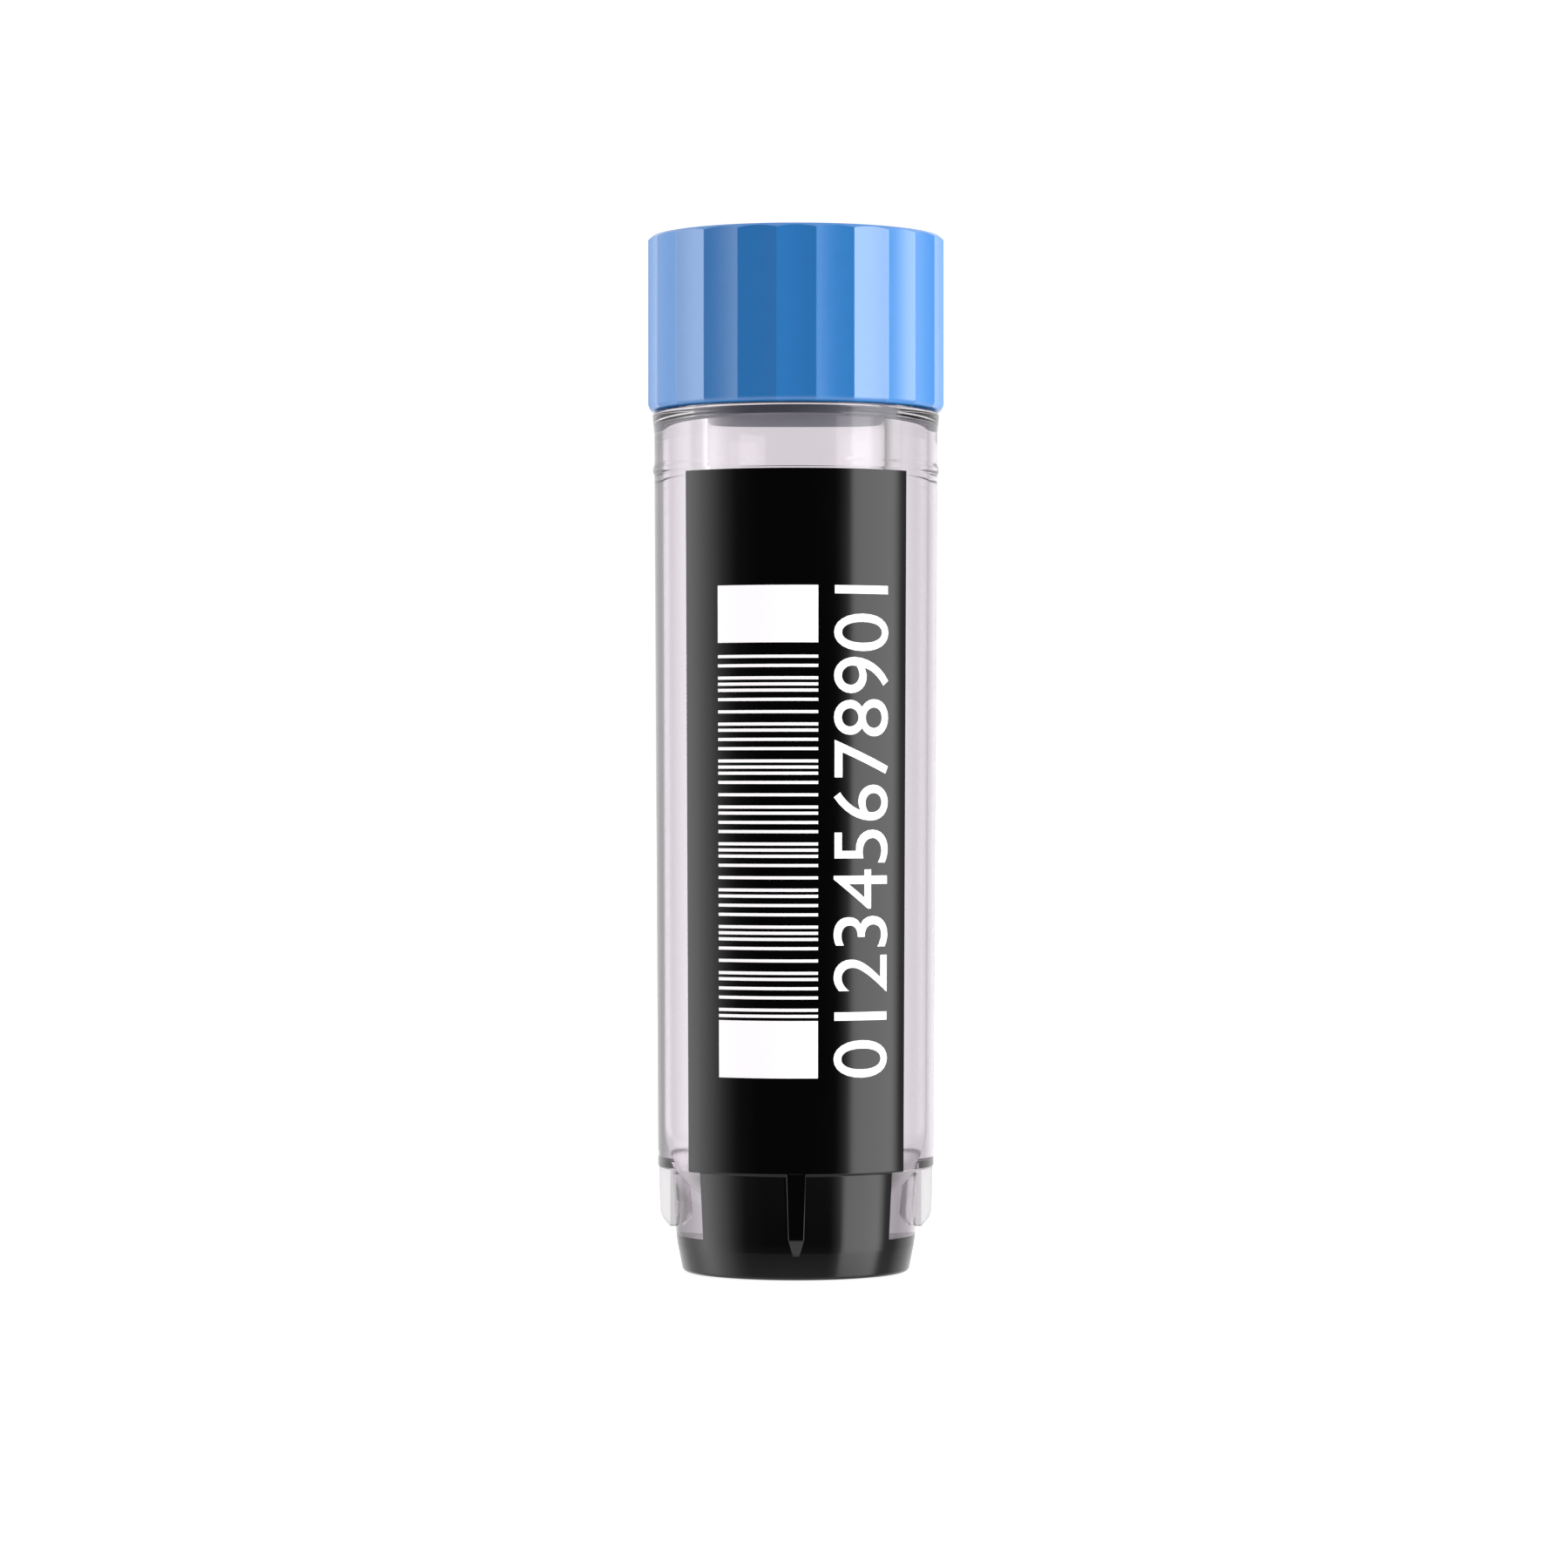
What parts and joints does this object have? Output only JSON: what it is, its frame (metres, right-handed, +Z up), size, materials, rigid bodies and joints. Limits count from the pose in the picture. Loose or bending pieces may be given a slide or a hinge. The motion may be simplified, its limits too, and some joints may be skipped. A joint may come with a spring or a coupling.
{
  "type": "screw-cap microcentrifuge storage tube",
  "caption": "Round-bottomed clear sample tube with a black code shell on its front and base, and a fluted blue screw cap that unscrews and lifts off.",
  "frame": {"origin": "centre of the flat base, on the surface that the tube stands on", "axes": "+Z up along the tube's axis, the code panel faces -Y"},
  "size_m": [0.0126, 0.0126, 0.0445],
  "materials": {
    "clear_polypropylene": "clear, polished mould",
    "black_polypropylene": "satin gloss",
    "blue_polypropylene": "satin gloss",
    "seal_elastomer": "soft matt"
  },
  "bodies": {
    "tube_body": {"tube": "clear_polypropylene", "code_shell": "black_polypropylene"},
    "seal_body": {"cap_seal": "seal_elastomer"},
    "cap_body": {"cap_shell": "blue_polypropylene"}
  },
  "joints": [
    {"name": "cap_lift", "type": "slide", "parent": "tube_body", "child": "seal_body", "axis": [0, 0, 1], "range_m": [0, 0.008]},
    {"name": "cap_turn", "type": "hinge", "parent": "seal_body", "child": "cap_body", "pos_m": [0, 0, 0.03699], "axis": [0, 0, 1], "range_deg": [0, 960]}
  ],
  "couplings": [
    {"joint": "cap_turn", "follows": "cap_lift", "rad_per_m": 2094.4}
  ]
}
